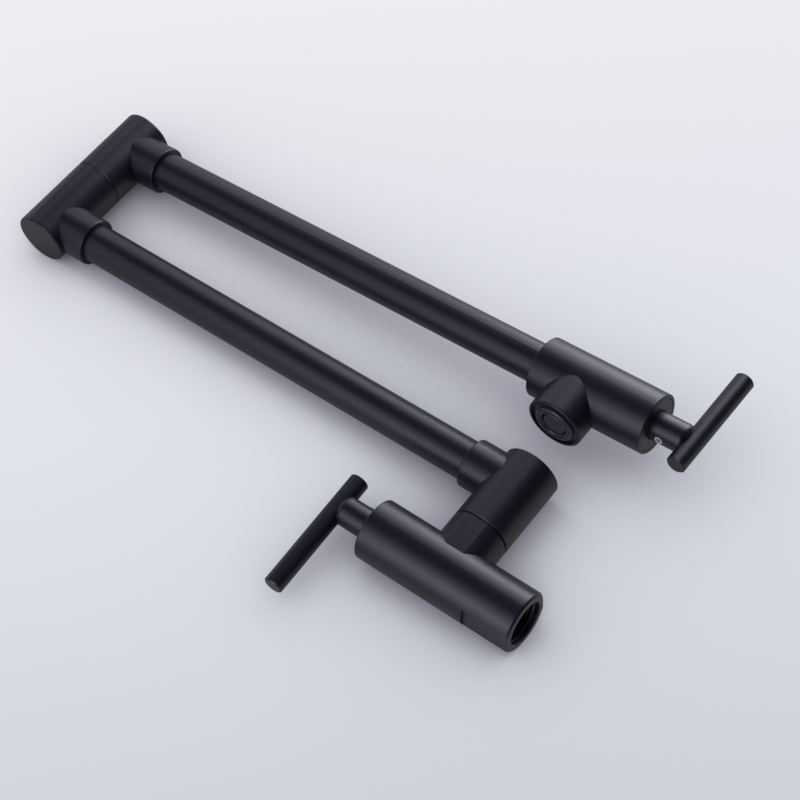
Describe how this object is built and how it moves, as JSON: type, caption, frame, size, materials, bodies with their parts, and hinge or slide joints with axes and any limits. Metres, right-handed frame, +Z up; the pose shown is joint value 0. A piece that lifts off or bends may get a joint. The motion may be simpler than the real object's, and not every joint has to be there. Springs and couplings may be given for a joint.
{
  "type": "wall mounted pot filler",
  "caption": "Matte black wall mounted pot filler: a valve on the wall, a folding double jointed arm of round tube and a second valve at the outlet, both with cross bar handles.",
  "frame": {"origin": "centre of the inlet's face, where the wall pipe screws in", "axes": "+Z up as mounted, +Y into the wall along the inlet's axis, the arms reach out along -Y"},
  "size_m": [0.0517, 0.3487, 0.1944],
  "materials": {
    "black_paint": "satin",
    "bare_brass": "machined",
    "ceramic": "lapped",
    "seal_rubber": "matte",
    "gasket_fibre": "matte",
    "white_plastic": "matte",
    "black_plastic": "satin",
    "spring_steel": "satin",
    "screw_steel": "bright"
  },
  "bodies": {
    "wall_base": {"wall_valve_body": "black_paint", "wall_seat_seal": "seal_rubber", "wall_fixed_disc": "ceramic", "wall_headwork_body": "bare_brass", "wall_headwork_gasket": "gasket_fibre", "wall_bonnet_ring": "black_paint", "wall_swivel_post": "bare_brass", "wall_swivel_seals": "seal_rubber", "wall_swivel_washer": "black_plastic", "wall_swivel_top_washer": "white_plastic", "wall_swivel_clip": "spring_steel"},
    "wall_handle": {"wall_spindle": "bare_brass", "wall_moving_disc": "ceramic", "wall_spindle_seal": "seal_rubber", "wall_spindle_clip": "spring_steel", "wall_handle_hub": "black_paint", "wall_handle_bar": "black_paint", "wall_bar_screw": "screw_steel", "wall_grub_screw": "screw_steel"},
    "lower_arm": {"lower_knuckle": "black_paint", "lower_knuckle_cap": "black_paint", "lower_knuckle_cap_seal": "seal_rubber", "lower_tube": "black_paint", "lower_tube_collar": "black_paint", "lower_tube_gasket": "gasket_fibre", "elbow_lower_body": "black_paint", "elbow_swivel_post": "bare_brass", "elbow_swivel_seals": "seal_rubber", "elbow_swivel_washer": "black_plastic", "elbow_swivel_top_washer": "white_plastic", "elbow_swivel_clip": "spring_steel"},
    "upper_arm": {"elbow_upper_body": "black_paint", "elbow_cap": "black_paint", "elbow_cap_seal": "seal_rubber", "upper_tube_gasket": "gasket_fibre", "upper_tube_collar": "black_paint", "upper_tube": "black_paint", "end_valve_body": "black_paint", "end_seat_seal": "seal_rubber", "end_fixed_disc": "ceramic", "end_headwork_body": "bare_brass", "end_headwork_gasket": "gasket_fibre", "end_bonnet_ring": "black_paint", "aerator_housing": "black_plastic", "aerator_insert": "black_plastic", "aerator_screen": "spring_steel", "aerator_seal": "seal_rubber"},
    "end_handle": {"end_spindle": "bare_brass", "end_moving_disc": "ceramic", "end_spindle_seal": "seal_rubber", "end_spindle_clip": "spring_steel", "end_handle_hub": "black_paint", "end_handle_bar": "black_paint", "end_bar_screw": "screw_steel", "end_grub_screw": "screw_steel"}
  },
  "joints": [
    {"name": "wall_swivel", "type": "hinge", "parent": "wall_base", "child": "lower_arm", "pos_m": [0, -0.0415, 0.0246], "axis": [0, 0, 1], "range_deg": [-88.6, 91.4]},
    {"name": "elbow_swivel", "type": "hinge", "parent": "lower_arm", "child": "upper_arm", "pos_m": [-0.00672, -0.31642, 0.0804], "axis": [0, 0, 1], "continuous": true},
    {"name": "wall_handle_turn", "type": "hinge", "parent": "wall_base", "child": "wall_handle", "pos_m": [0, -0.1, 0], "axis": [0, -1, 0], "range_deg": [0, 90]},
    {"name": "end_handle_turn", "type": "hinge", "parent": "upper_arm", "child": "end_handle", "pos_m": [0.01438, -0.04223, 0.1051], "axis": [0.0767, 0.9971, 0], "range_deg": [0, 90]}
  ]
}
